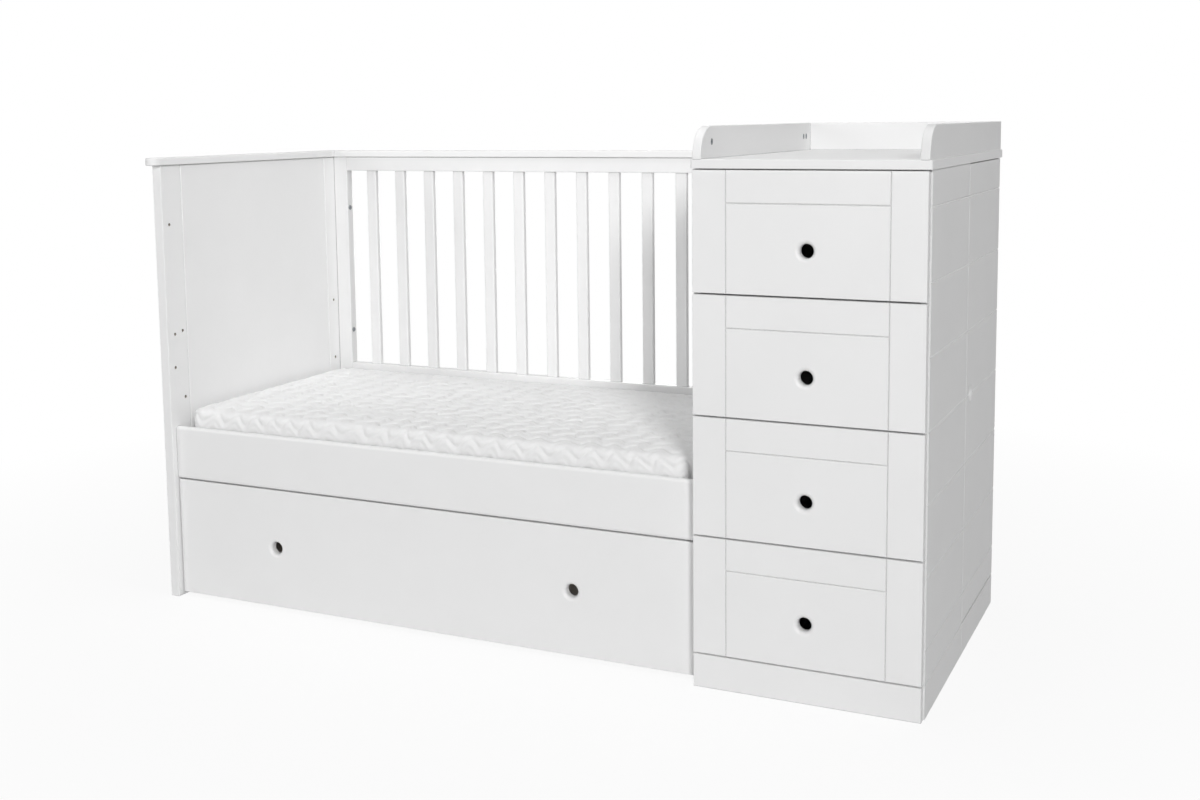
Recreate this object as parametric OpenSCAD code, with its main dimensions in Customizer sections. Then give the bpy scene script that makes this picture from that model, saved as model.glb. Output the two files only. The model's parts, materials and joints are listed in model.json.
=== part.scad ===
// Crib with a changing dresser attached at its right-hand end.
// Millimetres. +X runs along the bed towards the dresser, +Y towards the back, +Z up.
// The origin is the middle of the whole footprint, on the floor. The modules are drawn
// from a working corner (the dresser's bed-side face, the plane of its drawer fronts
// and the floor) and moved to that origin once, by placed().

/* [Bed] */
// Clear length between the end panel and the dresser
bed_l = 1200; // [1160:5:1240]
// Thickness of the end panel and of the back frame
panel_t = 22; // [20:1:25]
// Front edge of the end panel, behind the drawer fronts
panel_front = 13; // [8:1:20]
// Front face of the slatted back frame
back_y = 632; // [626:1:636]
// Height of the end panel, up to the cap rails
panel_h = 936; // [900:2:960]
// Width of the cap rails
cap_w = 34; // [30:2:40]
// Thickness of the cap rails
cap_t = 16; // [14:1:20]
// Reach of the end cap's round nose in front of the end panel
cap_front = 23; // [20:1:30]

/* [Back frame] */
// Lower edge of the back frame
frame_low = 375; // [360:5:390]
// Height of its bottom rail
frame_rail_h = 44; // [38:2:50]
// Height of its top rail
frame_top_h = 34; // [30:1:40]
// Width of a stile
stile_w = 38; // [34:1:42]
// Number of slats
slat_count = 13; // [13:1:14]
// Width of a slat
slat_w = 27; // [24:1:30]
// Thickness of a slat
slat_t = 13; // [10:1:16]

/* [Rails and mattress base] */
// Front face of the front rail
rail_y = 26; // [24:1:28]
// Thickness of the front and rear rails
rail_t = 16; // [14:1:18]
// Lower edge of the rails
rail_low = 261; // [255:1:270]
// Upper edge of the rails
rail_high = 374; // [364:1:374]
// Top of the slatted base
base_top = 304; // [298:1:310]
// Height of the base frame's bars
bar_h = 34; // [30:1:38]
// Number of base slats
base_slat_count = 12; // [10:1:14]
// Width of a base slat
base_slat_w = 60; // [50:5:65]
// Thickness of the mattress
mattress_t = 98; // [90:1:110]
// Corner radius of the mattress in plan
mattress_r = 35; // [20:5:50]

/* [Under-bed drawer] */
// Clearance under its front
box_front_low = 8; // [6:1:14]
// Distance of each finger hole from the middle
bed_finger_x = 345; // [250:5:400]
// Height of the finger holes
bed_finger_z = 134; // [120:1:150]
// Underside of the drawer's bottom board
bed_box_low = 60; // [56:1:70]
// Height of the drawer's sides
bed_box_h = 160; // [120:5:180]
// Radius of a castor wheel
wheel_r = 20; // [16:1:22]
// Width of a castor wheel
wheel_w = 18; // [14:1:20]
// Radius of a castor axle
axle_r = 4; // [3:0.5:5]

/* [Dresser] */
// Width over the side panels
case_w = 418; // [400:2:440]
// Rear face of the carcass
case_d = 664; // [660:1:670]
// Thickness of the carcass boards
board_t = 16; // [15:1:18]
// Front edge of the carcass, behind the drawer fronts
case_front = 17; // [17:1:18]
// Underside of the changing top
case_h = 937.5; // [930:0.5:945]
// Gap line over the plinth
plinth_line = 63; // [55:1:70]
// Gap between neighbouring fronts
front_gap = 3; // [2:0.5:4]
// Middle of the joint between the fixed side and the side door
door_line = 341; // [338:1:344]
// Thickness of the side door
door_t = 15; // [14:1:15]

/* [Dresser drawers] */
// Depth of the drawer boxes behind their fronts
box_d = 300; // [260:5:305]
// Height of the drawer boxes
box_h = 150; // [120:5:160]
// Thickness of the drawer box boards
box_t = 12; // [10:1:15]
// Width of a runner between the carcass and the box
runner_w = 13; // [13:0.5:14]
// Distance of the upright grooves from the front's side edges
front_groove_x = 62; // [50:1:80]
// Distance of the cross groove below the front's upper gap line
front_groove_z = 59; // [45:1:70]
// Height of the finger hole over the front's lower gap line
finger_z = 80; // [60:1:110]

/* [Grooves and finger holes] */
// Depth of the V grooves, which are twice as wide
groove_d = 2; // [1:0.5:3]
// Radius of a finger hole's bore
finger_r = 12.5; // [11:0.5:15]
// Radius of the rounding around a finger hole
flare_r = 8; // [5:0.5:8]
// Height of the highest groove on the dresser's side
side_groove_top = 876; // [860:1:900]
// Pitch of the grooves on the dresser's side
side_groove_pitch = 125.5; // [120:0.5:130]
// Rounding of the boards' edges
ease_r = 1.5; // [1:0.5:3]

/* [Changing top] */
// Thickness of the changing top
top_t = 16; // [14:1:19]
// Overhang of the changing top in front of the drawer fronts
top_front = 6; // [4:1:10]
// Overhang of the changing top beside the dresser
top_side = 4; // [2:1:8]
// Overhang of the changing top behind the dresser
top_rear = 2; // [0:1:6]
// Set-back of the changing top from the bed-side face
top_back_off = 2; // [1:1:4]
// Height of the rims
rim_h = 57; // [50:1:70]
// Thickness of the rims
rim_t = 16; // [14:1:18]
// Radius of the rims' rounded front ends
rim_r = 55; // [30:1:55]

/* [Hidden] */
$fn = 48;

// Play between two boards that meet in one node
seam = 0.1;

// Colours
lacquer = [0.93, 0.93, 0.92];
lining = [0.90, 0.90, 0.88];
cover = [0.95, 0.95, 0.94];
zinc = [0.66, 0.67, 0.68];
grey_tyre = [0.35, 0.36, 0.37];
runner_white = [0.86, 0.86, 0.86];
birch = [0.80, 0.66, 0.47];

// Bed: places worked out from the driving dimensions
bed_x = -bed_l;
panel_x = bed_x - panel_t;
panel_back = back_y + panel_t;
cap_over = (cap_w - panel_t) / 2;
cap_x = panel_x - cap_over;
cap_back = panel_back + cap_over;
cap_nose_y = panel_front - cap_front + cap_w / 2;
cap_r = 2.5;
frame_high = panel_h;
slat_y = back_y + (panel_t - slat_t) / 2;
slat_low = frame_low + frame_rail_h;
slat_high = frame_high - frame_top_h;
slat_gap = (bed_l - 2 * stile_w - slat_count * slat_w) / (slat_count + 1);
rail_back_y = back_y + (panel_t - rail_t) / 2;
rail_top_r = 6;

// Base: a frame of four bars, its slats let into a rebate
bar_w = 20;
rebate = 10;
base_slat_t = 12;
base_front = rail_y + rail_t + 2;
base_back = back_y - 2;
base_slat_gap = (bed_l - 2 * bar_w - base_slat_count * base_slat_w) / (base_slat_count + 1);
mattress_play = 3;
mattress_front = 50;

// Bolt positions, as [y, z]: what they hold, then the spare holes for other set-ups
bolt_r = 3;
bolt_hole_r = 3.3;
bolt_head_r = 6;
bolt_head_t = 2;
back_bolt_y = back_y + 9;
rail_bolts = [for (y = [rail_y + rail_t / 2, back_bolt_y], z = [285, 340]) [y, z]];
stile_bolts = [for (z = [502, 810]) [back_bolt_y, z]];
base_bolts = [for (y = [60, 613]) [y, 289]];
base_holes = [for (y = [60, 613], z = [434, 579]) [y, z]];
barrier_holes = [for (z = [502, 810]) [33, z]];
low_barrier_holes = [[36, 574]];
rail_bolt_l = 50;
thread_end = 2;

// Panel grooves
panel_grooves = [74, 590];

// Dresser: places worked out from the driving dimensions
in_x = board_t;
out_x = case_w - board_t;
door_play = 1;
door_in_x = case_w - door_t;
front_x = front_gap;
front_w = case_w - 2 * front_gap;
front_t = 16;
front_pitch = (case_h - 1 - plinth_line) / 4;
divider_y = door_line - 7;
bottom_z = plinth_line + 1;
back_y0 = case_d - board_t;
stretcher_w = 60;
shelf_count = 2;
shelf_gap = (case_h - board_t - bottom_z - board_t - shelf_count * board_t) / (shelf_count + 1);
side_grooves = [for (k = [0:6]) side_groove_top - k * side_groove_pitch];
door_finger = [386, side_groove_top - 3 * side_groove_pitch];

// Cupboard shelves
shelf_play = 6;
pin_r = 3;
pin_l = 9;

// Concealed hinges of the side door: cup and flange, two links, arm and its plate
hinge_z = [165, 500, 835];
cup_r = 17.5;
cup_depth = 11;
cup_wall = 1.5;
cup_floor = 1;
cup_y = case_d - 22;
flange_t = 0.8;
flange_w = 16;
flange_l = 60;
link_t = 2.5;
link_w = 5;
link_reach = 13;
link_apart = 5.5;
link_y = cup_y - 6;
arm_l = 55;
arm_w = 14;
arm_h = 15;
arm_wall = 1.5;
arm_from = 58;
arm_plate = [32, 2, 50];

// Drawer boxes, from the inner faces of the carcass
box_x = in_x + runner_w;
box_w = out_x - in_x - 2 * runner_w;
box_lift = 25;
box_groove = 10;
box_bottom_t = 4;
runner_l = 290;
runner_y = 20;

// Runner sections of rolled steel: a channel on the carcass, a hat section on the box
steel = 1.5;
channel_deep = 10;
channel_half = 22;
mouth_half = 13;
hat_x = 3;
hat_half = 8;
brim_half = 18;

// Under-bed drawer
bed_gap = 2.5;
bed_front_high = rail_low - 2;
bed_side_play = 16;
bed_box_back = 620;
bed_bottom_t = 8;
castors = [for (x = [-bed_l + 70, -70], y = [110, 550]) [x, y]];
castor_plate = [48, 60, 2.5];
ear_t = 2.5;
ear_x = wheel_w / 2 + 1.5;
ear_r = 10;
axle_play = 0.06;
axle_head_t = 2;
hub_r = 8;
tread_t = 6;
cheek_depth = 2;

// Changing top
top_x = top_back_off;
top_w = case_w + top_side - top_x;
top_y = -top_front;
top_d = case_d + top_rear + top_front;
top_z = case_h + top_t;
rim_inset = 4;
rim_left_x = top_x + rim_inset;
rim_right_x = case_w + top_side - rim_inset - rim_t;
rim_back_y = case_d + top_rear - rim_t;
cam_r = 6;
cam_deep = 9.5;
cam_sunk = 0.5;
cam_play = 0.1;
cams = [for (y = [50, 603, 621]) [y, top_z + 29]];

// The whole part's reach, which sets its origin
x_low = cap_x;
x_high = case_w + top_side;
y_low = min(panel_front - cap_front, -top_front);
y_high = case_d + top_rear;

module placed() {
    translate([-(x_low + x_high) / 2, -(y_low + y_high) / 2, 0]) children();
}

// ---- Shapes that repeat ----

// A plain board between two corners
module board(low, high) {
    translate(low) cube(high - low);
}

// A rectangle with rounded corners, all four or only the upper two
module section(w, t, r, low_too = true) {
    translate([r, 0]) square([w - 2 * r, t]);
    translate([0, low_too ? r : 0]) square([w, low_too ? t - 2 * r : t - r]);
    for (x = [r, w - r]) {
        translate([x, t - r]) circle(r);
        if (low_too) translate([x, r]) circle(r);
    }
}

// A board lying flat, show face up, the edges of that face rounded
module plate(w, h, t, r = ease_r) {
    intersection() {
        translate([0, h, 0]) rotate([90, 0, 0]) linear_extrude(h) section(w, t, r, false);
        rotate([90, 0, 90]) linear_extrude(w) section(h, t, r, false);
    }
}

// Turns a flat board so that its show face looks to the front, or to the right
module facing_front(p) {
    translate(p) rotate([90, 0, 0]) children();
}

module facing_right(p) {
    translate(p) rotate([90, 0, 90]) children();
}

// A bar with a rounded section, run along X or Z
module bar_x(low, high, r = ease_r) {
    s = high - low;
    translate(low) rotate([90, 0, 90]) linear_extrude(s[0]) section(s[1], s[2], r);
}

module bar_z(low, high, r = ease_r) {
    s = high - low;
    translate(low) linear_extrude(s[2]) section(s[0], s[1], r);
}

// A V groove in the upper face of a flat board, run along X from its own origin
module v_cut(l) {
    reach = groove_d + 1;
    rotate([90, 0, 90]) linear_extrude(l) polygon([[-reach, 1], [reach, 1], [0, -groove_d]]);
}

// A finger hole through a flat board, rounded towards the show face
module finger_cut(t) {
    rotate_extrude() difference() {
        translate([0, -1]) square([finger_r + flare_r, t + 2]);
        translate([finger_r, -2]) square([flare_r + 1, t - flare_r + 2]);
        translate([finger_r + flare_r, t - flare_r]) circle(flare_r);
    }
}

// A round hole or rod along X
module rod_x(x0, x1, y, z, r) {
    translate([x0, y, z]) rotate([0, 90, 0]) cylinder(r = r, h = x1 - x0);
}

// The holes of all the fastenings that cross the bed's two ends
module bolt_cuts(x0, x1, points) {
    for (p = points) rod_x(x0, x1, p[0], p[1], bolt_hole_r);
}

// ---- Bed ----

module end_panel() {
    l = panel_back - panel_front;
    color(lacquer) difference() {
        facing_right([panel_x, panel_front, 0]) difference() {
            intersection() {
                plate(l, panel_h, panel_t);
                translate([0, panel_h, panel_t]) rotate([180, 0, 0]) plate(l, panel_h, panel_t);
            }
            for (y = panel_grooves) {
                translate([y - panel_front, -1, panel_t]) rotate([0, 0, 90]) v_cut(panel_h + 2);
                translate([y - panel_front, -1, 0]) rotate([0, 180, 90]) translate([-panel_h - 2, 0, 0])
                    v_cut(panel_h + 2);
            }
        }
        bolt_cuts(panel_x - 1, bed_x + 1, concat(rail_bolts, stile_bolts, base_bolts));
        bolt_cuts(panel_x - 1, bed_x + 1, concat(base_holes, barrier_holes, low_barrier_holes));
    }
}

// Both cap rails have this section and meet in a mitre
module end_cap() {
    mid_x = cap_x + cap_w / 2;
    color(lacquer) union() {
        intersection() {
            translate([cap_x, cap_back, panel_h]) rotate([90, 0, 0])
                linear_extrude(cap_back - cap_nose_y) section(cap_w, cap_t, cap_r);
            translate([0, 0, panel_h - 1]) linear_extrude(cap_t + 2) polygon([
                [cap_x, cap_nose_y], [cap_x + cap_w, cap_nose_y],
                [cap_x + cap_w, cap_back - cap_w], [cap_x, cap_back]
            ]);
        }
        intersection() {
            translate([mid_x, cap_nose_y, panel_h]) rotate_extrude() intersection() {
                translate([-cap_w / 2, 0]) section(cap_w, cap_t, cap_r);
                square([cap_w, cap_t]);
            }
            translate([cap_x, cap_nose_y - cap_w / 2, panel_h]) cube([cap_w, cap_w / 2, cap_t]);
        }
    }
}

module back_cap() {
    color(lacquer) intersection() {
        bar_x([cap_x, cap_back - cap_w, panel_h], [0, cap_back, panel_h + cap_t], cap_r);
        translate([0, 0, panel_h - 1]) linear_extrude(cap_t + 2) polygon([
            [cap_x, cap_back], [cap_x + cap_w, cap_back - cap_w],
            [1, cap_back - cap_w], [1, cap_back]
        ]);
    }
}

module back_top_rail() {
    color(lacquer) bar_x([bed_x + stile_w, back_y, slat_high], [-stile_w, panel_back, frame_high]);
}

module back_bottom_rail() {
    color(lacquer) bar_x([bed_x + stile_w, back_y, frame_low], [-stile_w, panel_back, slat_low]);
}

module back_stile(x) {
    color(lacquer) difference() {
        bar_z([x, back_y, frame_low], [x + stile_w, panel_back, frame_high]);
        bolt_cuts(x - 1, x + stile_w + 1, stile_bolts);
    }
}

module back_slats() {
    color(lacquer) for (k = [0:slat_count - 1]) {
        x = bed_x + stile_w + slat_gap + k * (slat_w + slat_gap);
        bar_z([x, slat_y, slat_low], [x + slat_w, slat_y + slat_t, slat_high], 3);
    }
}

// A rail across the bed, its upper edge fully rounded
module bed_rail(y) {
    color(lacquer) difference() {
        bar_x([bed_x, y, rail_low], [0, y + rail_t, rail_high], rail_top_r);
        bolt_cuts(bed_x - 1, bed_x + rail_bolt_l, rail_bolts);
        bolt_cuts(-rail_bolt_l, 1, rail_bolts);
    }
}

module base_frame() {
    low = base_top - bar_h;
    color(lining) for (side = [0, 1]) {
        x = side == 0 ? bed_x : -bar_w;
        y = side == 0 ? base_front : base_back - bar_w;
        difference() {
            board([x, base_front, low], [x + bar_w, base_back, base_top]);
            bolt_cuts(x - 1, x + bar_w + 1, base_bolts);
        }
        difference() {
            board([bed_x + bar_w + seam, y, low], [-bar_w - seam, y + bar_w, base_top]);
            translate([bed_x, side == 0 ? y + bar_w - rebate : y - 1, base_top - base_slat_t])
                cube([bed_l, rebate + 1, base_slat_t + 1]);
        }
    }
}

module base_slats() {
    low = base_front + bar_w - rebate;
    high = base_back - bar_w + rebate;
    color(birch) for (k = [0:base_slat_count - 1]) {
        x = bed_x + bar_w + base_slat_gap + k * (base_slat_w + base_slat_gap);
        translate([x, high, base_top - base_slat_t]) rotate([90, 0, 0])
            linear_extrude(high - low) section(base_slat_w, base_slat_t, 2);
    }
}

module mattress() {
    l = bed_l - 2 * mattress_play;
    w = base_back - mattress_front;
    color(cover) translate([bed_x + mattress_play, mattress_front, base_top])
        linear_extrude(mattress_t) section(l, w, mattress_r);
}

// One bolt through a bed end, its head against that end's outer face
module frame_bolt(head_x, way, l, p, nut) {
    turn = way > 0 ? 90 : -90;
    translate([head_x, p[0], p[1]]) rotate([0, turn, 0]) {
        translate([0, 0, -bolt_head_t]) cylinder(r = bolt_head_r, h = bolt_head_t);
        cylinder(r = bolt_r, h = l);
        if (nut) translate([0, 0, l]) cylinder(r = bolt_head_r - 0.5, h = bolt_head_t);
    }
}

module frame_bolts() {
    color(zinc) for (end = [[panel_x, 1, panel_t], [in_x, -1, board_t]]) {
        for (p = stile_bolts) frame_bolt(end[0], end[1], end[2] + stile_w, p, true);
        for (p = base_bolts)
            frame_bolt(end[0], end[1], end[2] + bar_w - thread_end, p, false);
        for (p = rail_bolts)
            frame_bolt(end[0], end[1], end[2] + rail_bolt_l - thread_end, p, false);
    }
}

// ---- Dresser carcass ----

module dresser_side_left() {
    color(lacquer) difference() {
        board([0, case_front, 0], [board_t, case_d, case_h]);
        bolt_cuts(-1, board_t + 1, concat(rail_bolts, stile_bolts, base_bolts));
        bolt_cuts(-1, board_t + 1, concat(base_holes, barrier_holes, low_barrier_holes));
    }
}

// A piece of the grooved right-hand side, from y0 to y1 and z0 to z1
module grooved_side(y0, y1, z0, z1, t, lines) {
    facing_right([case_w - t, y0, z0]) difference() {
        plate(y1 - y0, z1 - z0, t);
        for (z = lines) translate([-1, z - z0, t]) v_cut(y1 - y0 + 2);
    }
}

module dresser_side_right() {
    color(lacquer) grooved_side(case_front, door_line - front_gap / 2, 0, case_h, board_t,
                                concat(side_grooves, [plinth_line]));
}

module side_plinth() {
    color(lacquer) grooved_side(door_line + front_gap / 2, case_d, 0,
                                plinth_line - front_gap / 2, board_t, []);
}

module drawer_bay_bottom() {
    color(lining) board([in_x, case_front, bottom_z], [out_x, divider_y, bottom_z + board_t]);
}

module cupboard_bottom() {
    color(lining) board([in_x, divider_y + board_t, bottom_z],
                        [out_x - door_play, back_y0, bottom_z + board_t]);
}

module plinth() {
    h = plinth_line - front_gap / 2;
    color(lacquer) facing_front([front_x, case_front, 0]) plate(front_w, h, front_t);
}

module top_stretchers() {
    z = case_h - board_t;
    color(lining) for (y = [case_front, divider_y - stretcher_w])
        board([in_x, y, z], [out_x, y + stretcher_w, case_h]);
    color(lining) board([in_x, back_y0 - stretcher_w, z], [out_x - door_play, back_y0, case_h]);
}

module divider() {
    color(lining) board([in_x, divider_y, 0], [out_x, divider_y + board_t, case_h]);
}

module dresser_back() {
    color(lacquer) board([in_x, back_y0, 0], [out_x - door_play, case_d, case_h]);
}

function shelf_z(k) = bottom_z + board_t + k * shelf_gap + (k - 1) * board_t;

module cupboard_shelves() {
    color(lining) for (k = [1:shelf_count])
        board([in_x, divider_y + board_t, shelf_z(k)],
              [out_x - shelf_play, back_y0, shelf_z(k) + board_t]);
}

// Shelf pins in the divider and the back, two in each under every shelf
module shelf_pins() {
    color(zinc) for (k = [1:shelf_count], x = [in_x + 40, out_x - 60]) {
        for (y = [divider_y + board_t, back_y0 - pin_l])
            translate([x, y, shelf_z(k) - pin_r]) rotate([-90, 0, 0]) cylinder(r = pin_r, h = pin_l);
    }
}

// ---- Changing top ----

module changer_top() {
    color(lacquer) translate([top_x, top_y, case_h]) intersection() {
        plate(top_w, top_d, top_t, 2);
        linear_extrude(top_t) section(top_w, top_d, 4);
    }
}

// A side rim, its front end turned down in a quarter round almost as high as the rim;
// the eased upper edges run round that end down to the changing top
module side_rim(x, cam_face) {
    sill = rim_h - rim_r;
    color(lacquer) difference() {
        translate([x, top_y, top_z]) {
            translate([0, top_d, 0]) rotate([90, 0, 0])
                linear_extrude(top_d - rim_r) section(rim_t, rim_h, ease_r, false);
            intersection() {
                translate([0, rim_r, sill]) rotate([0, 90, 0]) rotate_extrude($fn = 96)
                    intersection() {
                        translate([-rim_r, 0]) section(2 * rim_r, rim_t, ease_r);
                        square([rim_r, rim_t]);
                    }
                translate([0, 0, sill]) cube([rim_t, rim_r, rim_r]);
            }
            linear_extrude(sill) translate([0, rim_r]) mirror([0, 1])
                section(rim_t, rim_r, ease_r, false);
        }
        for (p = cams) rod_x(cam_face, cam_face + cam_deep, p[0], p[1], cam_r);
    }
}

module rim_left() {
    side_rim(rim_left_x, rim_left_x + rim_t - cam_deep);
}

module rim_right() {
    side_rim(rim_right_x, rim_right_x);
}

module rim_back() {
    l = rim_right_x - rim_left_x - rim_t;
    color(lacquer) translate([rim_left_x + rim_t, rim_back_y, top_z]) rotate([90, 0, 90])
        linear_extrude(l) section(rim_t, rim_h, ease_r, false);
}

// Cam fittings sunk in the rims' inner faces
module rim_cams() {
    color(zinc) for (p = cams) {
        rod_x(rim_left_x + rim_t - cam_deep, rim_left_x + rim_t - cam_sunk, p[0], p[1],
              cam_r - cam_play);
        rod_x(rim_right_x + cam_sunk, rim_right_x + cam_deep, p[0], p[1], cam_r - cam_play);
    }
}

// ---- Side door and its concealed hinges ----

module side_door() {
    z0 = plinth_line + front_gap / 2;
    color(lacquer) difference() {
        grooved_side(door_line + front_gap / 2, case_d, z0, case_h - 2, door_t, side_grooves);
        facing_right([door_in_x, door_finger[0], door_finger[1]]) finger_cut(door_t);
        for (z = hinge_z) rod_x(door_in_x - 1, door_in_x + cup_depth + 0.1, cup_y, z, cup_r + 0.1);
    }
}

// Cup with its flange in the door, and the two links that fold into the arm
module hinge_cups() {
    color(zinc) for (z = hinge_z) {
        difference() {
            union() {
                rod_x(door_in_x, door_in_x + cup_depth, cup_y, z, cup_r);
                rod_x(door_in_x - flange_t, door_in_x, cup_y, z, cup_r + 1);
                board([door_in_x - flange_t, cup_y - flange_w / 2, z - flange_l / 2],
                      [door_in_x, cup_y + flange_w / 2, z + flange_l / 2]);
            }
            rod_x(door_in_x - flange_t - 1, door_in_x + cup_depth - cup_floor, cup_y, z, cup_r - cup_wall);
        }
        for (side = [-1, 1])
            translate([door_in_x - link_reach, link_y, z + side * link_apart / 2 - link_t / 2])
                cube([link_reach + cup_depth - cup_floor, link_w, link_t]);
    }
}

// Arm, a channel that takes the links in, on a plate screwed to the carcass back
module hinge_plates() {
    y = back_y0 - arm_plate[1];
    color(zinc) for (z = hinge_z) {
        board([out_x - arm_from + 2, y, z - arm_plate[2] / 2],
              [out_x - arm_from + 2 + arm_plate[0], back_y0, z + arm_plate[2] / 2]);
        difference() {
            board([out_x - arm_from, back_y0 - arm_h, z - arm_w / 2],
                  [out_x - arm_from + arm_l, y, z + arm_w / 2]);
            board([out_x - arm_from - 1, back_y0 - arm_h - 1, z - arm_w / 2 + arm_wall],
                  [out_x - arm_from + arm_l + 1, y - 2, z + arm_w / 2 - arm_wall]);
        }
    }
}

// ---- Dresser drawers, numbered from the top ----

function line_z(n) = plinth_line + (4 - n) * front_pitch;
function box_z(n) = line_z(n) + front_gap / 2 + box_lift;
function runner_z(n) = box_z(n) + box_h / 2;

module drawer_front(n) {
    h = front_pitch - front_gap;
    groove_y = front_pitch - front_groove_z - front_gap / 2;
    color(lacquer) facing_front([front_x, front_t, line_z(n) + front_gap / 2]) difference() {
        plate(front_w, h, front_t);
        for (x = [front_groove_x, front_w - front_groove_x])
            translate([x, -1, front_t]) rotate([0, 0, 90]) v_cut(h + 2);
        translate([front_groove_x, groove_y, front_t]) v_cut(front_w - 2 * front_groove_x);
        translate([front_w / 2, finger_z - front_gap / 2, 0]) finger_cut(front_t);
    }
}

// Two sides and a back; the sides are grooved for the bottom, which runs under the back
module drawer_box(n) {
    z = box_z(n);
    y1 = front_t + box_d;
    color(lining) {
        for (x = [box_x, box_x + box_w - box_t]) difference() {
            board([x, front_t, z], [x + box_t, y1, z + box_h]);
            board([box_x + box_t / 2, front_t - 1, z + box_groove],
                  [box_x + box_w - box_t / 2, y1 + 1, z + box_groove + box_bottom_t]);
        }
        board([box_x + box_t + seam, y1 - box_t, z + box_groove + box_bottom_t],
              [box_x + box_w - box_t - seam, y1, z + box_h]);
    }
}

module drawer_bottom(n) {
    z = box_z(n) + box_groove;
    color(lining) board([box_x + box_t / 2, front_t, z],
                        [box_x + box_w - box_t / 2, front_t + box_d, z + box_bottom_t]);
}

// Runner sections for the left-hand side, mirrored for the right: x from the carcass
module moving_section() {
    difference() {
        union() {
            translate([hat_x, -hat_half]) square([runner_w - hat_x, 2 * hat_half]);
            translate([hat_x, -brim_half]) square([steel, 2 * brim_half]);
        }
        translate([hat_x - 1, steel - hat_half])
            square([runner_w - hat_x + 1 - steel, 2 * (hat_half - steel)]);
    }
}

module fixed_section() {
    difference() {
        translate([0, -channel_half]) square([channel_deep, 2 * channel_half]);
        translate([steel, steel - channel_half])
            square([channel_deep - 2 * steel, 2 * (channel_half - steel)]);
        translate([steel, -mouth_half]) square([channel_deep, 2 * mouth_half]);
    }
}

module runner_pair(z, l) {
    for (side = [0, 1]) translate([side == 0 ? in_x : out_x, runner_y, z])
        mirror([side, 0, 0]) translate([0, l, 0]) rotate([90, 0, 0]) linear_extrude(l) children();
}

module drawer_runners(n) {
    color(runner_white) runner_pair(runner_z(n), runner_l) moving_section();
}

module runner_rails() {
    color(runner_white) for (n = [1:4]) runner_pair(runner_z(n), runner_l + 10) fixed_section();
}

// ---- Under-bed drawer ----

module bed_drawer_front() {
    w = bed_l - 2 * bed_gap;
    color(lacquer) facing_front([bed_x + bed_gap, rail_y + rail_t, box_front_low]) difference() {
        plate(w, bed_front_high - box_front_low, rail_t);
        for (s = [-1, 1])
            translate([w / 2 + s * bed_finger_x, bed_finger_z - box_front_low, 0]) finger_cut(rail_t);
    }
}

module bed_drawer_sides() {
    z = bed_box_low - bed_bottom_t;
    color(lining) for (x = [bed_x + bed_side_play, -bed_side_play - board_t]) difference() {
        board([x, rail_y + rail_t, z], [x + board_t, bed_box_back, z + bed_box_h]);
        board([bed_x + bed_side_play + board_t / 2, rail_y, bed_box_low],
              [-bed_side_play - board_t / 2, bed_box_back + 1, bed_box_low + bed_bottom_t]);
    }
}

module bed_drawer_back() {
    color(lining) board(
        [bed_x + bed_side_play + board_t, bed_box_back - board_t, bed_box_low + bed_bottom_t],
        [-bed_side_play - board_t, bed_box_back, bed_box_low - bed_bottom_t + bed_box_h]);
}

module bed_drawer_bottom() {
    color(lining) board(
        [bed_x + bed_side_play + board_t / 2, rail_y + rail_t, bed_box_low],
        [-bed_side_play - board_t / 2, bed_box_back, bed_box_low + bed_bottom_t]);
}

// A rigid castor: a screwed-on plate with two ears that carry the axle
module castor_brackets() {
    plate_z = bed_box_low - castor_plate[2];
    color(zinc) for (p = castors) translate([p[0], p[1], 0]) {
        translate([-castor_plate[0] / 2, -castor_plate[1] / 2, plate_z]) cube(castor_plate);
        for (x = [-ear_x - ear_t, ear_x]) difference() {
            union() {
                board([x, -ear_r, wheel_r], [x + ear_t, ear_r, plate_z]);
                rod_x(x, x + ear_t, 0, wheel_r, ear_r);
            }
            rod_x(x - 1, x + ear_t + 1, 0, wheel_r, axle_r);
        }
    }
}

module castor_axles() {
    half = ear_x + ear_t;
    color(zinc) for (p = castors) {
        rod_x(p[0] - half, p[0] + half, p[1], wheel_r, axle_r);
        for (x = [-half - axle_head_t, half])
            rod_x(p[0] + x, p[0] + x + axle_head_t, p[1], wheel_r, axle_r + 2);
    }
}

// A wheel with a rounded tread, recessed cheeks and a hub, turning on its axle
module castor_wheel(n) {
    p = castors[n - 1];
    color(grey_tyre) translate([p[0], p[1], wheel_r]) rotate([0, 90, 0]) rotate_extrude()
        difference() {
            intersection() {
                translate([-wheel_r, -wheel_w / 2]) section(2 * wheel_r, wheel_w, 4);
                translate([axle_r + axle_play, -wheel_w]) square([wheel_r, 2 * wheel_w]);
            }
            for (z = [-wheel_w / 2 - 1, wheel_w / 2 - cheek_depth])
                translate([hub_r, z]) square([wheel_r - hub_r - tread_t, cheek_depth + 1]);
        }
}

placed() end_panel();
placed() end_cap();
placed() back_cap();
placed() back_top_rail();
placed() back_bottom_rail();
placed() back_stile(bed_x);  // back_stile_left
placed() back_stile(-stile_w);  // back_stile_right
placed() back_slats();
placed() bed_rail(rail_y);  // front_rail
placed() bed_rail(rail_back_y);  // rear_rail
placed() base_frame();
placed() base_slats();
placed() mattress();
placed() frame_bolts();
placed() dresser_side_left();
placed() dresser_side_right();
placed() side_plinth();
placed() drawer_bay_bottom();
placed() cupboard_bottom();
placed() plinth();
placed() top_stretchers();
placed() divider();
placed() dresser_back();
placed() changer_top();
placed() rim_left();
placed() rim_right();
placed() rim_back();
placed() rim_cams();
placed() cupboard_shelves();
placed() shelf_pins();
placed() hinge_plates();
placed() runner_rails();
placed() side_door();
placed() hinge_cups();
placed() bed_drawer_front();
placed() bed_drawer_sides();
placed() bed_drawer_back();
placed() bed_drawer_bottom();
placed() castor_brackets();
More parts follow.
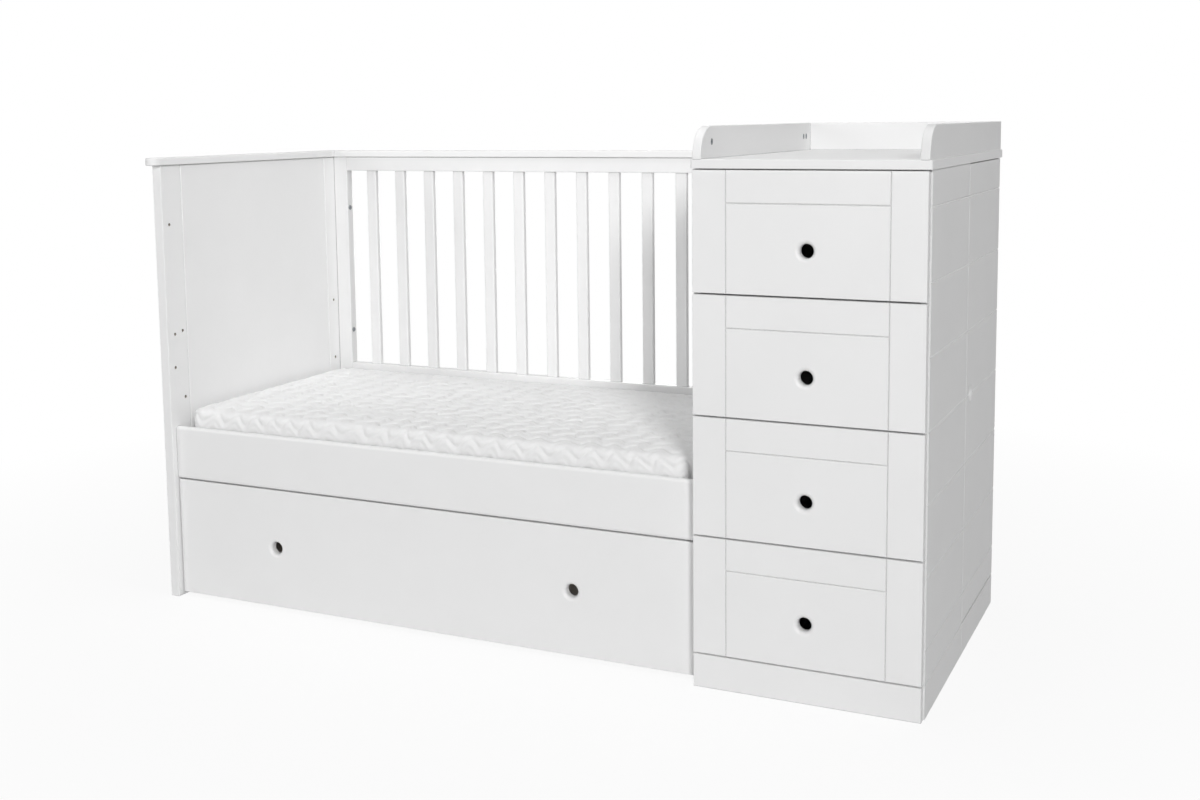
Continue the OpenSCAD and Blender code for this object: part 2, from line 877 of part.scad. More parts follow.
placed() castor_axles();
placed() castor_wheel(1);  // castor_wheel_1
placed() castor_wheel(2);  // castor_wheel_2
placed() castor_wheel(3);  // castor_wheel_3
placed() castor_wheel(4);  // castor_wheel_4
placed() drawer_front(1);  // drawer_1_front
placed() drawer_box(1);  // drawer_1_box
placed() drawer_bottom(1);  // drawer_1_bottom
placed() drawer_runners(1);  // drawer_1_runners
placed() drawer_front(2);  // drawer_2_front
placed() drawer_box(2);  // drawer_2_box
placed() drawer_bottom(2);  // drawer_2_bottom
placed() drawer_runners(2);  // drawer_2_runners
placed() drawer_front(3);  // drawer_3_front
placed() drawer_box(3);  // drawer_3_box
placed() drawer_bottom(3);  // drawer_3_bottom
placed() drawer_runners(3);  // drawer_3_runners
placed() drawer_front(4);  // drawer_4_front
placed() drawer_box(4);  // drawer_4_box
placed() drawer_bottom(4);  // drawer_4_bottom
placed() drawer_runners(4);  // drawer_4_runners
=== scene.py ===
"""Looks of the crib with its changing dresser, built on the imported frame.

Lengths are metres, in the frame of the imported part: +X runs along the bed towards the
dresser, +Y towards the back, +Z up, with the origin on the floor under the middle.
"""

import json
import math

import bmesh
import bpy
from mathutils import Matrix, Vector, noise


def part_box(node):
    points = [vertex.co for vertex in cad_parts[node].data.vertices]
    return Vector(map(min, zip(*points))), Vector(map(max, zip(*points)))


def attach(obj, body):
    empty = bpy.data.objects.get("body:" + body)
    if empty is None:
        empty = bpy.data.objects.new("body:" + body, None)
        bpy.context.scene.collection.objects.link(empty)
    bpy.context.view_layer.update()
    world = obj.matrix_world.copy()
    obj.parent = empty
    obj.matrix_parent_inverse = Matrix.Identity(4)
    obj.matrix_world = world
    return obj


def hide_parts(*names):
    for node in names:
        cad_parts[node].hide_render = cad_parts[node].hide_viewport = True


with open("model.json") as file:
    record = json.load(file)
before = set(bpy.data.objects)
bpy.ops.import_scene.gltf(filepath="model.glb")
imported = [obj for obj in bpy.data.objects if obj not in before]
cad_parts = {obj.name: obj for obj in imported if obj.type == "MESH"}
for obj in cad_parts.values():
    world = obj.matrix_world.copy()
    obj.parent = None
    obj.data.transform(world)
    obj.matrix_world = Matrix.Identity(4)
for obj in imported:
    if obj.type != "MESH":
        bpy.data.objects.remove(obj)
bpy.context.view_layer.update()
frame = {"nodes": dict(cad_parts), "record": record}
nodes = frame["nodes"]
scene = bpy.context.scene

MM = 0.001
BED_MIDDLE_X = sum(c.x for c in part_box("mattress")) / 2
DRESSER_MIDDLE_X = sum(c.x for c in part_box("changer_top")) / 2


# ---- Camera and lamps ----

PHOTO_WIDTH_PX = 1200
FOCAL_PX = 1424.6       # focal length of the view, in pixels of the photograph
SENSOR_MM = 36.0
EYE = (1.3109, -2.6487, 1.0279)
YAW, PITCH, ROLL = (math.radians(angle) for angle in (25.02, 6.53, -0.61))
LENS_SHIFT = -0.10      # downwards in place of more tilt, as a share of the frame's width


def place_camera():
    """A level-headed view from the front right, a little above the changing top."""
    ahead = Vector((-math.sin(YAW), math.cos(YAW), 0)) * math.cos(PITCH)
    forward = ahead - Vector((0, 0, math.sin(PITCH)))
    level = Vector((math.cos(YAW), math.sin(YAW), 0))
    steep = level.cross(forward)
    right = level * math.cos(ROLL) + steep * math.sin(ROLL)
    up = steep * math.cos(ROLL) - level * math.sin(ROLL)
    data = bpy.data.cameras.new("camera")
    data.sensor_width = SENSOR_MM
    data.lens = SENSOR_MM * FOCAL_PX / PHOTO_WIDTH_PX
    data.shift_y = LENS_SHIFT
    camera = bpy.data.objects.new("camera", data)
    turn = Matrix((right, up, -forward)).transposed().to_4x4()
    camera.matrix_world = Matrix.Translation(EYE) @ turn
    scene.collection.objects.link(camera)
    scene.camera = camera


def softbox(name, at, towards, size, watts, spread=180):
    """A square area lamp at one point that shines towards another; a honeycomb grid on
    it narrows its beam to the spread in degrees."""
    data = bpy.data.lights.new(name, "AREA")
    data.size = size
    data.energy = watts
    data.spread = math.radians(spread)
    lamp = bpy.data.objects.new(name, data)
    lamp.location = at
    lamp.rotation_euler = (Vector(towards) - Vector(at)).to_track_quat("-Z", "Y").to_euler()
    scene.collection.objects.link(lamp)


def light_studio():
    """The key throws the dresser's shade over the mattress. The front and left lamps fill
    the fronts, the rear one lights the back from below the mattress's top, so that it puts
    no glare on it, and the last two lift the flat tops and the end panel."""
    softbox("key", (4.84, -6.79, 3.87), (0.0, 0.0, 0.5), 1.6, 412)
    softbox("front", (-0.6, -8.0, 1.6), (-0.2, 0.0, 0.5), 3.0, 52)
    softbox("left", (-4.5, -6.0, 2.0), (-0.3, 0.0, 0.5), 2.0, 100)
    softbox("rear", (-2.4, 6.0, 0.42), (0.0, 0.3, 0.55), 0.8, 165)
    softbox("overhead", (0.0, 0.0, 3.2), (0.0, 0.0, 0.0), 2.0, 25)
    softbox("bedside", (0.72, -0.40, 2.1), (-0.8, 0.1, 0.62), 0.5, 1.2, spread=66)


# ---- Node trees ----

def linear(code):
    """An sRGB hex colour as linear RGBA."""
    parts = [int(code[i:i + 2], 16) / 255 for i in (1, 3, 5)]
    return tuple(c / 12.92 if c <= 0.04045 else ((c + 0.055) / 1.055) ** 2.4
                 for c in parts) + (1.0,)


def add(tree, kind, inputs=None, **settings):
    """Adds one shader node. An input is a value, a hex colour, the output socket that
    feeds it, or a node that feeds it by its first output in use."""
    made = tree.nodes.new("ShaderNode" + kind)
    for key, value in settings.items():
        setattr(made, key, value)
    for key, value in (inputs or {}).items():
        if isinstance(value, str):
            value = linear(value)
        elif isinstance(value, bpy.types.Node):
            value = next(output for output in value.outputs if output.enabled)
        if isinstance(value, bpy.types.NodeSocket):
            tree.links.new(value, made.inputs[key])
        else:
            made.inputs[key].default_value = value
    return made


def new_finish(name):
    """An empty material, its tree, and the place on the object that its patterns follow."""
    made = bpy.data.materials.new(name)
    made.use_nodes = True
    tree = made.node_tree
    tree.nodes.clear()
    return made, tree, add(tree, "TexCoord").outputs["Object"]


def shade(made, **values):
    """Ends a finish with its shader; keyword names are the shader's sockets."""
    inputs = {key.replace("_", " "): value for key, value in values.items()}
    shader = add(made.node_tree, "BsdfPrincipled", inputs)
    add(made.node_tree, "OutputMaterial", {"Surface": shader})
    return made


def grain(tree, place, size, detail=2.0, stretch=(1, 1, 1)):
    """A cloudy 0 to 1 pattern whose features are about size metres, longer where stretch
    is above 1."""
    scale = [1 / (size * s) for s in stretch]
    mapped = add(tree, "Mapping", {"Vector": place, "Scale": scale})
    return add(tree, "TexNoise", {"Vector": mapped, "Scale": 1.0, "Detail": detail})


# ---- Surroundings and floor ----

FLOOR_REACH = 12          # half the floor's side, in metres
UNDER_OBJECT = 0.9        # the floor keeps most of its shadow up to here from the middle
PLAIN_FROM = 2.2          # and is plain white from here on


def white_to_eye(tree):
    """1 for rays that show the surroundings straight, in gloss or through glass."""
    path = add(tree, "LightPath").outputs
    other = {0: path["Is Glossy Ray"], 1: path["Is Transmission Ray"]}
    gloss = add(tree, "Math", other, operation="MAXIMUM")
    return add(tree, "Math", {0: path["Is Camera Ray"], 1: gloss}, operation="MAXIMUM")


def surroundings(strength):
    """A plain studio: dim enough to light gently, and white where it is looked at."""
    world = bpy.data.worlds.new("studio")
    world.use_nodes = True
    tree = world.node_tree
    tree.nodes.clear()
    lit = add(tree, "Background", {"Color": (1, 1, 1, 1), "Strength": strength})
    shown = add(tree, "Background", {"Color": (1, 1, 1, 1), "Strength": 1.0})
    mixed = add(tree, "MixShader", {0: white_to_eye(tree), 1: lit, 2: shown})
    add(tree, "OutputWorld", {"Surface": mixed})
    scene.world = world


def studio_floor():
    """A pale floor that stays near white and keeps a light shadow of the object."""
    mesh = bpy.data.meshes.new("floor")
    form = bmesh.new()
    bmesh.ops.create_grid(form, x_segments=1, y_segments=1, size=FLOOR_REACH)
    form.to_mesh(mesh)
    form.free()
    floor = bpy.data.objects.new("floor", mesh)
    scene.collection.objects.link(floor)
    paint, tree, place = new_finish("floor_paint")
    matt = add(tree, "BsdfDiffuse", {"Color": "#F6F6F6"})
    dull = add(tree, "BsdfDiffuse", {"Color": "#D8D8D8"})
    glow = add(tree, "Emission", {"Color": (1, 1, 1, 1), "Strength": 1.0})
    away = add(tree, "VectorMath", {0: place}, operation="LENGTH")
    share = add(tree, "MapRange", {"Value": away, "From Min": UNDER_OBJECT, "From Max": PLAIN_FROM,
                                   "To Min": 0.9, "To Max": 1.0})
    shown = add(tree, "MixShader", {0: share, 1: matt, 2: glow})
    mixed = add(tree, "MixShader", {0: white_to_eye(tree), 1: dull, 2: shown})
    add(tree, "OutputMaterial", {"Surface": mixed})
    mesh.materials.append(paint)


# ---- Finishes ----

BOLT_HOLE_MOUNTS = ("barrier_holes_panel", "base_holes_panel", "low_rail_hole_panel")
HOLE_MARGIN = 0.05 * MM   # round a bolt hole, so that its whole wall is taken in


def in_bolt_holes(tree, place):
    """1 on the walls of the empty bolt holes across the bed, which the record's mounts
    give; 0 elsewhere. Each set of holes lies evenly about its mount's place, so one
    distance in the folded Y and Z finds them all."""
    found = None
    for mount in frame["record"]["mounts"]:
        if mount["name"] not in BOLT_HOLE_MOUNTS:
            continue
        sizes = mount["dims"]
        apart = (0, sizes.get("spacing_x_mm", 0) / 2 * MM, sizes.get("spacing_y_mm", 0) / 2 * MM)
        radius = sizes.get("hole_r_mm", sizes.get("r_mm")) * MM + HOLE_MARGIN
        moved = add(tree, "VectorMath", {0: place, 1: mount["pos_m"]}, operation="SUBTRACT")
        folded = add(tree, "VectorMath", {0: moved}, operation="ABSOLUTE")
        level = add(tree, "VectorMath", {0: folded, 1: (0, 1, 1)}, operation="MULTIPLY")
        away = add(tree, "VectorMath", {0: level, 1: apart}, operation="DISTANCE")
        inside = add(tree, "Math", {0: away, 1: radius}, operation="LESS_THAN")
        if found is not None:
            inside = add(tree, "Math", {0: found, 1: inside}, operation="MAXIMUM")
        found = inside
    return found


def satin_lacquer(name="satin_white_lacquer", shades=("#EBEBEB", "#EFEFEF"),
                  groove_painted_shading="#B4B4B4", drilled=False):
    """Polyurethane lacquer sprayed on fibreboard: a satin white with a faint orange peel
    some 4 mm across, and its gloss a little uneven from hand to hand. Its grooves and
    joints take a painted colour: by default a grey that is painted shade, and on the
    dresser's right side a white that is painted highlight. A drilled board shows its bare
    fibres in the holes: fine, matt and a dull brown grey that a little overspray has lightened."""
    made, tree, place = new_finish(name)
    paint = add(tree, "Mix", {"Factor": grain(tree, place, 0.12), "A": shades[0], "B": shades[1]},
                data_type="RGBA")
    # Painted shade in the grooves and joints, or painted highlight where the groove colour is
    # white: it shows wholly where less than 45 % of the sky is open
    open_sky = add(tree, "AmbientOcclusion", {"Distance": 2.5 * MM}, samples=6).outputs["AO"]
    outside_painted_grooves = add(tree, "MapRange", {"Value": open_sky, "From Min": 0.45, "From Max": 0.85})
    paint = add(tree, "Mix", {"Factor": outside_painted_grooves, "A": groove_painted_shading, "B": paint}, data_type="RGBA")
    hands = grain(tree, place, 0.03)
    gloss = add(tree, "MapRange", {"Value": hands, "To Min": 0.36, "To Max": 0.46})
    if drilled:
        hole = in_bolt_holes(tree, place)
        fluff = grain(tree, place, 0.8 * MM, 4.0)
        fibres = add(tree, "Mix", {"Factor": fluff, "A": "#948D82", "B": "#ACA59A"},
                     data_type="RGBA")
        paint = add(tree, "Mix", {"Factor": hole, "A": paint, "B": fibres}, data_type="RGBA")
        matt = add(tree, "MapRange", {"Value": hole, "To Min": 0.0, "To Max": 0.9})
        gloss = add(tree, "Math", {0: gloss, 1: matt}, operation="MAXIMUM")
    peel = grain(tree, place, 4 * MM)
    sanded = add(tree, "Bevel", {"Radius": 0.3 * MM}, samples=6)
    relief = add(tree, "Bump", {"Strength": 0.35, "Distance": 0.03 * MM, "Height": peel,
                                "Normal": sanded})
    return shade(made, Base_Color=paint, Roughness=gloss, IOR=1.5, Normal=relief)


def melamine_board():
    """Chipboard faced with white melamine paper, pressed against a pearl-grained plate:
    a dull white with a dense sub-millimetre emboss."""
    made, tree, place = new_finish("white_melamine")
    paper = add(tree, "Mix", {"Factor": grain(tree, place, 0.2), "A": "#E6E6E4", "B": "#EAEAE8"},
                data_type="RGBA")
    pearl = grain(tree, place, 0.8 * MM, 3.0)
    gloss = add(tree, "MapRange", {"Value": pearl, "To Min": 0.42, "To Max": 0.58})
    edged = add(tree, "Bevel", {"Radius": 0.5 * MM}, samples=6)
    relief = add(tree, "Bump", {"Strength": 0.5, "Distance": 0.04 * MM, "Height": pearl,
                                "Normal": edged})
    return shade(made, Base_Color=paper, Roughness=gloss, IOR=1.5, Normal=relief)


def birch_plywood():
    """Rotary-cut birch under a clear lacquer: pale honey wood whose figure runs along the
    slat (Y) in long flames, with short dark pores a millimetre wide."""
    made, tree, place = new_finish("birch_plywood")
    flame = grain(tree, place, 9 * MM, 4.0, (1, 16, 1))
    pores = grain(tree, place, 1.2 * MM, 2.0, (1, 14, 1))
    darker = add(tree, "MapRange", {"Value": pores, "To Min": -0.16, "To Max": 0.12})
    figure = add(tree, "Math", {0: flame, 1: darker}, operation="ADD")
    wood = add(tree, "Mix", {"Factor": figure, "A": "#C9A06A", "B": "#E6CBA0"}, data_type="RGBA")
    gloss = add(tree, "MapRange", {"Value": pores, "To Min": 0.38, "To Max": 0.56})
    relief = add(tree, "Bump", {"Strength": 0.4, "Distance": 0.05 * MM, "Height": pores})
    return shade(made, Base_Color=wood, Roughness=gloss, IOR=1.5, Normal=relief)


def zinc_plate():
    """Die-cast zinc and zinc-plated steel: a cool mid-grey metal, dulled by its chromate
    bath and cloudy where it was handled."""
    made, tree, place = new_finish("zinc_plated_steel")
    cloud = grain(tree, place, 9 * MM, 4.0)
    metal = add(tree, "Mix", {"Factor": cloud, "A": "#7A7E81", "B": "#9A9EA1"}, data_type="RGBA")
    gloss = add(tree, "MapRange", {"Value": cloud, "To Min": 0.24, "To Max": 0.45})
    return shade(made, Base_Color=metal, Metallic=1.0, Roughness=gloss)


def epoxy_enamel():
    """White epoxy powder baked on rolled steel: a tight 1.5 mm orange peel, half gloss."""
    made, tree, place = new_finish("white_epoxy_enamel")
    coat = add(tree, "Mix", {"Factor": grain(tree, place, 0.05), "A": "#DDDDDB", "B": "#E3E3E1"},
               data_type="RGBA")
    peel = grain(tree, place, 1.5 * MM)
    relief = add(tree, "Bump", {"Strength": 0.5, "Distance": 0.03 * MM, "Height": peel})
    return shade(made, Base_Color=coat, Roughness=0.3, IOR=1.5, Normal=relief)


def grey_polyamide():
    """Moulded grey polyamide: spark-eroded matt skin that scuffs lighter."""
    made, tree, place = new_finish("grey_polyamide")
    scuffs = grain(tree, place, 6 * MM, 5.0)
    grey = add(tree, "Mix", {"Factor": scuffs, "A": "#54575A", "B": "#64676A"}, data_type="RGBA")
    skin = grain(tree, place, 0.6 * MM)
    relief = add(tree, "Bump", {"Strength": 0.4, "Distance": 0.05 * MM, "Height": skin})
    return shade(made, Base_Color=grey, Roughness=0.5, IOR=1.53, Normal=relief)


def quilted_knit():
    """White polyester knit quilted over fleece: soft and dull, with a fine rib of loops
    1.2 mm apart, so it carries sheen at grazing angles and no gloss."""
    made, tree, place = new_finish("quilted_white_knit")
    yarn = grain(tree, place, 0.02, 4.0)
    white = add(tree, "Mix", {"Factor": yarn, "A": "#E8E8E8", "B": "#EEEEEE"}, data_type="RGBA")
    loops = grain(tree, place, 1.2 * MM, 1.0, (2.5, 1, 1))
    relief = add(tree, "Bump", {"Strength": 0.6, "Distance": 0.25 * MM, "Height": loops})
    return shade(made, Base_Color=white, Roughness=0.85, IOR=1.45, Sheen_Weight=0.25,
                 Sheen_Roughness=0.4, Normal=relief)


# The record's material slots
FINISHES = {
    "lacquer": satin_lacquer,
    "lining": melamine_board,
    "birch": birch_plywood,
    "mattress_cover": quilted_knit,
    "zinc": zinc_plate,
    "runner_enamel": epoxy_enamel,
    "wheel_plastic": grey_polyamide,
}

# Nodes that have a lacquer of their own: on the dresser's right side a greyer copy that is painted
# shade, and on the drilled boards one with bare fibres in the bolt holes
RIGHT_SIDE = ("dresser_side_right", "side_door", "side_plinth", "rim_right")
DRILLED = ("end_panel", "dresser_side_left")


def dress_frame():
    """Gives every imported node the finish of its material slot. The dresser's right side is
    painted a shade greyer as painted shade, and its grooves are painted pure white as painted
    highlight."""
    made = {slot: build() for slot, build in FINISHES.items()}
    # a greyer copy of the same lacquer as painted shade on the dresser's right side, with its
    # grooves painted white as painted highlight
    own = dict.fromkeys(RIGHT_SIDE, satin_lacquer(
        "satin_white_lacquer_side_painted_shade", ("#E3E3E3", "#E8E8E8"), "#FFFFFF"))
    own.update(dict.fromkeys(DRILLED, satin_lacquer("satin_white_lacquer_drilled", drilled=True)))
    for row in frame["record"]["subparts"]:
        mesh = nodes[row["node"]].data
        mesh.materials.clear()
        mesh.materials.append(own.get(row["node"], made[row["material_slot"]]))
    return made


# ---- Making pieces ----

def new_piece(name, form, slot, body="root"):
    """Turns a bmesh into a piece that has its finish and rides on a body."""
    mesh = bpy.data.meshes.new(name)
    form.to_mesh(mesh)
    form.free()
    piece = bpy.data.objects.new(name, mesh)
    scene.collection.objects.link(piece)
    mesh.materials.append(finishes[slot])
    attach(piece, body)
    return piece


def islands(node):
    """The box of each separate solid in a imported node, as its lowest and highest corner."""
    form = bmesh.new()
    form.from_mesh(nodes[node].data)
    bmesh.ops.remove_doubles(form, verts=form.verts, dist=0.01 * MM)
    boxes, seen = [], set()
    for first in form.verts:
        if first in seen:
            continue
        seen.add(first)
        queue = [first]
        for vert in queue:
            fresh = [e.other_vert(vert) for e in vert.link_edges]
            fresh = [v for v in fresh if v not in seen]
            seen.update(fresh)
            queue.extend(fresh)
        low = Vector([min(v.co[k] for v in queue) for k in range(3)])
        high = Vector([max(v.co[k] for v in queue) for k in range(3)])
        boxes.append((low, high))
    form.free()
    return boxes


# ---- Fittings ----

STILE_BOLTS_ABOVE = 0.4   # the bolts higher than this hold the back frame's stiles
HEAD_T = 2                # thickness of a bolt's head, in millimetres
CROSS_ARM = 0.24          # width of a cross recess's arm, as a share of its span
SMOOTH_UP_TO = math.radians(35)

# Screws: the head's diameter in millimetres, and how far each sits in from its plate's ends
PLATE_HEAD, PLATE_IN = 7, 5 * MM
CUP_HEAD, CUP_IN = 7, 6 * MM
CASTOR_HEAD, CASTOR_IN_X, CASTOR_IN_Y = 8, 6 * MM, 7 * MM
PLATE_SCREW_X = -9 * MM   # from the middle of the hinge's arm, clear of its channel
HINGE_PLATE_T = 2 * MM
CUP_FLANGE_T = 0.8 * MM
CASTOR_PLATE_T = 2.5 * MM
FLANGE_LENGTH = 40 * MM   # only a cup's flange is as tall as this, and its links aren't


def edge_at(kind, size, angle):
    """Distance from the middle to the outline: a circle by its diameter, a hexagon by its
    width across flats, or a four-armed cross by its span."""
    if kind == "hexagon":
        return size / 2 / math.cos(angle % (math.pi / 3) - math.pi / 6)
    if kind == "cross":
        fold = angle % (math.pi / 2)
        fold = min(fold, math.pi / 2 - fold)
        if math.tan(fold) < CROSS_ARM:
            return size / 2 / math.cos(fold)
        return CROSS_ARM * size / 2 / math.sin(fold)
    return size / 2


def turned(form, at, along, rings, segments=48):
    """Builds a fitting up from rings of (depth, outline, size) in millimetres, from the
    bottom of its socket outwards; depth runs from a point in a direction."""
    made = bmesh.ops.create_circle(form, segments=segments, radius=1)["verts"]
    ring, edges = made, list({e for v in made for e in v.link_edges})
    bmesh.ops.contextual_create(form, geom=edges)
    every = list(ring)
    for number, (depth, kind, size) in enumerate(rings):
        if number:
            fresh = bmesh.ops.extrude_edge_only(form, edges=edges)["geom"]
            ring = [g for g in fresh if isinstance(g, bmesh.types.BMVert)]
            outline = set(ring)
            edges = [g for g in fresh
                     if isinstance(g, bmesh.types.BMEdge) and outline.issuperset(g.verts)]
            every += ring
        for vert in ring:
            angle = math.atan2(vert.co.y, vert.co.x)
            reach = edge_at(kind, size, angle) * MM
            vert.co = Vector((math.cos(angle) * reach, math.sin(angle) * reach, depth * MM))
    bmesh.ops.contextual_create(form, geom=edges)
    turn = Vector(along).to_track_quat("Z", "Y").to_matrix().to_4x4()
    bmesh.ops.transform(form, matrix=Matrix.Translation(at) @ turn, verts=every)


def connector_bolts():
    """Flat-headed connecting bolts with a 4 mm hexagon socket; those through the stiles
    end in a sleeve nut with a socket of its own."""
    form = bmesh.new()
    for low, high in islands("frame_bolts"):
        middle = (low + high) / 2
        way = 1 if middle.x < BED_MIDDLE_X else -1
        length = (high.x - low.x) / MM - HEAD_T
        head = Vector((low.x if way > 0 else high.x, middle.y, middle.z))
        end = length + HEAD_T
        rings = [(1.5, "hexagon", 4.0), (0.2, "hexagon", 4.0), (0, "hexagon", 4.4),
                 (0, "circle", 10.6), (0.15, "circle", 11.4), (0.6, "circle", 12),
                 (HEAD_T, "circle", 12), (HEAD_T, "circle", 6)]
        if middle.z > STILE_BOLTS_ABOVE:
            rings += [(length, "circle", 6), (length, "circle", 11), (end - 0.4, "circle", 11),
                      (end, "circle", 10.2), (end, "hexagon", 4.2), (length + 0.6, "hexagon", 4.0)]
        else:
            rings += [(end - 1, "circle", 6), (end, "circle", 4.6)]
        turned(form, head, (way, 0, 0), rings)
    finish_fitting("connector_bolts", form, "frame_bolts")


def rim_fittings():
    """Die-cast cam fittings with a cross recess, a hair below the rim's face."""
    form = bmesh.new()
    for low, high in islands("rim_cams"):
        middle = (low + high) / 2
        way = -1 if middle.x < DRESSER_MIDDLE_X else 1
        face = Vector((high.x if way < 0 else low.x, middle.y, middle.z))
        deep = (high.x - low.x) / MM
        turned(form, face, (way, 0, 0), [
            (2.2, "cross", 5.4), (0.3, "cross", 6.4), (0.1, "cross", 7.0), (0.1, "circle", 8.6),
            (0, "circle", 9.0), (0, "circle", 11.0), (0.4, "circle", 11.8), (deep, "circle", 11.8)])
    finish_fitting("rim_fittings", form, "rim_cams")


def screw(form, at, along, head):
    """A countersunk cross-recess screw seen from its head; the shank is in the wood."""
    turned(form, at, along, [
        (1.4, "cross", head * 0.42), (-0.35, "cross", head * 0.52), (-0.45, "circle", head * 0.66),
        (-0.25, "circle", head * 0.88), (0, "circle", head)], segments=32)


def finish_fitting(name, form, *stands_for, slot="zinc", body="root"):
    """Turns finished fittings into one smooth-shaded piece."""
    bmesh.ops.recalc_face_normals(form, faces=form.faces)
    piece = new_piece(name, form, slot, body)
    piece.data.polygons.foreach_set("use_smooth", [True] * len(piece.data.polygons))
    piece.data.set_sharp_from_angle(angle=SMOOTH_UP_TO)
    if stands_for:
        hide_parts(*stands_for)


def fitting_screws():
    """Screws through the hinge plates, the hinge cups' flanges and the castor plates."""
    form = bmesh.new()
    for low, high in islands("hinge_plates"):
        x = (low.x + high.x) / 2 + PLATE_SCREW_X
        for z in (low.z + PLATE_IN, high.z - PLATE_IN):
            screw(form, (x, high.y - HINGE_PLATE_T, z), (0, 1, 0), PLATE_HEAD)
    finish_fitting("hinge_plate_screws", form)
    form = bmesh.new()
    door_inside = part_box("side_door")[0].x
    for low, high in islands("hinge_cups"):
        if high.z - low.z < FLANGE_LENGTH:
            continue
        for z in (low.z + CUP_IN, high.z - CUP_IN):
            at = (door_inside - CUP_FLANGE_T, (low.y + high.y) / 2, z)
            screw(form, at, (1, 0, 0), CUP_HEAD)
    finish_fitting("hinge_cup_screws", form, body="side_door")
    form = bmesh.new()
    for low, high in islands("castor_brackets"):
        for x in (low.x + CASTOR_IN_X, high.x - CASTOR_IN_X):
            for y in (low.y + CASTOR_IN_Y, high.y - CASTOR_IN_Y):
                screw(form, (x, y, high.z - CASTOR_PLATE_T), (0, 0, 1), CASTOR_HEAD)
    finish_fitting("castor_screws", form, body="bed_drawer")


# ---- Mattress ----

# The foam and its cover
VOXEL = 10 * MM                      # remesh size for the cloth
LOW_ROOM = Vector((7, 1, 0)) * MM    # how much smaller the foam starts to the left and front
HIGH_ROOM = Vector((7, 7, 0)) * MM   # and to the right and back
LIFT = Vector((0, 0, 2)) * MM        # how much higher, as the cover draws its edges in
CORNER_R = 35 * MM
RIM_R = 8 * MM
PRESSURE = 4.0
SWELL_STEPS = 20
REACH = 4 * MM                       # the most that the cover swells
FINE_DEPTH = 60 * MM                 # how far down the cover its quilting is finely cut

# The quilting
WAVE = 52 * MM                       # length of a wave
ROWS = 20 * MM                       # distance between two rows
SWING = 10 * MM                      # how far a row swings to each side
SLIP = 5                             # how far rows get out of step, in radians
WANDER = 5 * MM                      # how far a row strays over a hand's breadth
WOBBLE = 1.2 * MM                    # how far it strays from stitch to stitch
PUFF = 5.0 * MM                      # how far the wadding stands up between rows
PUCKER = 0.5 * MM                    # small creases between the stitches
STEEP = 2.2                          # how fast the wadding rises beside a row


def apply_modifiers(piece):
    """Bakes what the piece's modifiers do into its mesh."""
    graph = bpy.context.evaluated_depsgraph_get()
    done = bpy.data.meshes.new_from_object(piece.evaluated_get(graph))
    piece.modifiers.clear()
    old = piece.data
    piece.data = done
    bpy.data.meshes.remove(old)


def foam_blank(low, high):
    """A block with rounded upright corners and softened upper and lower edges."""
    form = bmesh.new()
    bmesh.ops.create_cube(form, size=1)
    bmesh.ops.scale(form, vec=high - low, verts=form.verts)
    bmesh.ops.translate(form, vec=(low + high) / 2, verts=form.verts)
    upright = [e for e in form.edges if abs(e.verts[0].co.z - e.verts[1].co.z) > MM]
    bmesh.ops.bevel(form, geom=upright, offset=CORNER_R, segments=8, affect="EDGES",
                    profile=0.5, material=-1)
    rims = [e for e in form.edges if len(e.link_faces) == 2
            and sorted(abs(f.normal.z) > 0.5 for f in e.link_faces) == [False, True]]
    bmesh.ops.bevel(form, geom=rims, offset=RIM_R, segments=4, affect="EDGES",
                    profile=0.5, material=-1)
    return form


def swell(piece):
    """Lets the cover swell over the foam as cloth, held near where it started."""
    start = [v.co.copy() for v in piece.data.vertices]
    cloth = piece.modifiers.new("cloth", "CLOTH")
    cloth.settings.use_pressure = True
    cloth.settings.uniform_pressure_force = PRESSURE
    cloth.settings.effector_weights.gravity = 0.0
    cloth.settings.quality = 4
    cloth.collision_settings.use_self_collision = False
    for step in range(1, SWELL_STEPS + 1):
        scene.frame_set(step)
    apply_modifiers(piece)
    scene.frame_set(1)
    for vert, was in zip(piece.data.vertices, start):
        move = vert.co - was
        if move.length > REACH:
            vert.co = was + move * (REACH / move.length)


def uneven(s, t, along, across, kind):
    """Smooth noise of either sign, with so many humps to the metre each way."""
    return noise.noise((s * along, t * across, kind))


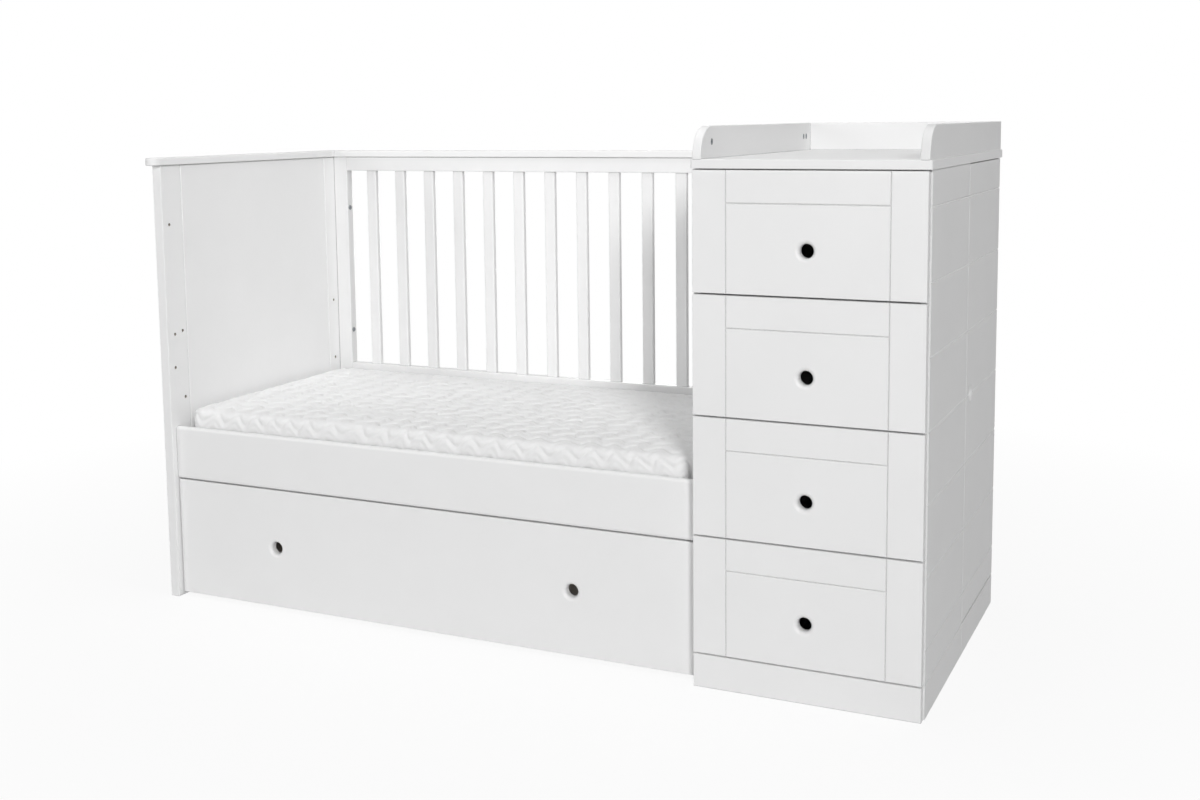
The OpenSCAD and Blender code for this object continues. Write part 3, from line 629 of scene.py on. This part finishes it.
def quilt_height(s, t):
    """Height of the wadding from 0 to 1: the rows are waves side by side that slip out of
    step, a little uneven as sewn rows are, and every second one is pulled down deep."""
    drift = uneven(s, t, 9, 9, 0.0) * WANDER + uneven(s, t, 60, 60, 3.0) * WOBBLE
    slip = uneven(s, t, 5, 12, 11.0) * SLIP
    row = (t - SWING * math.sin(2 * math.pi * s / WAVE + slip) - drift) / ROWS
    share = min(1.0, STEEP * abs(row - round(row)))
    return 0.5 * math.sqrt(share * (2 - share)) + 0.5 * abs(math.sin(math.pi * row / 2))


def quilt(piece, top):
    """Raises the cover between its stitched rows; the sides are unfolded outwards."""
    mesh = piece.data
    normals = [n.vector.copy() for n in mesh.vertex_normals]
    for vert, normal in zip(mesh.vertices, normals):
        flat = Vector((normal.x, normal.y))
        out = Vector((0, 0))
        if flat.length > 0.05:
            out = flat.normalized() * (top - vert.co.z) * min(1.0, flat.length)
        s, t = vert.co.x + out.x, vert.co.y + out.y
        pucker = uneven(s, t, 130, 40, 7.0) * PUCKER
        vert.co += normal * (quilt_height(s, t) * PUFF + pucker)


def cut_finer(piece, above):
    """Halves every face higher than a level, as only those show their quilting."""
    form = bmesh.new()
    form.from_mesh(piece.data)
    shown = [e for e in form.edges if min(v.co.z for v in e.verts) > above]
    bmesh.ops.subdivide_edges(form, edges=shown, cuts=1, use_grid_fill=True)
    form.to_mesh(piece.data)
    form.free()


def make_mattress():
    """A foam core in a quilted cover that zips off."""
    low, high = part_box("mattress")
    blank = foam_blank(low + LOW_ROOM, high - HIGH_ROOM + LIFT)
    piece = new_piece("mattress_cover", blank, "mattress_cover")
    remesh = piece.modifiers.new("voxels", "REMESH")
    remesh.mode = "VOXEL"
    remesh.voxel_size = VOXEL
    apply_modifiers(piece)
    swell(piece)
    finer = piece.modifiers.new("finer", "SUBSURF")
    finer.levels = finer.render_levels = 1
    apply_modifiers(piece)
    cut_finer(piece, high.z - FINE_DEPTH)
    quilt(piece, high.z)
    for vert in piece.data.vertices:
        vert.co.z = max(vert.co.z, low.z)
    piece.data.polygons.foreach_set("use_smooth", [True] * len(piece.data.polygons))
    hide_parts("mattress")


# ---- The scene ----

place_camera()
light_studio()
surroundings(0.06)
studio_floor()
finishes = dress_frame()
connector_bolts()
rim_fittings()
fitting_screws()
make_mattress()

scene.view_settings.view_transform = "Standard"
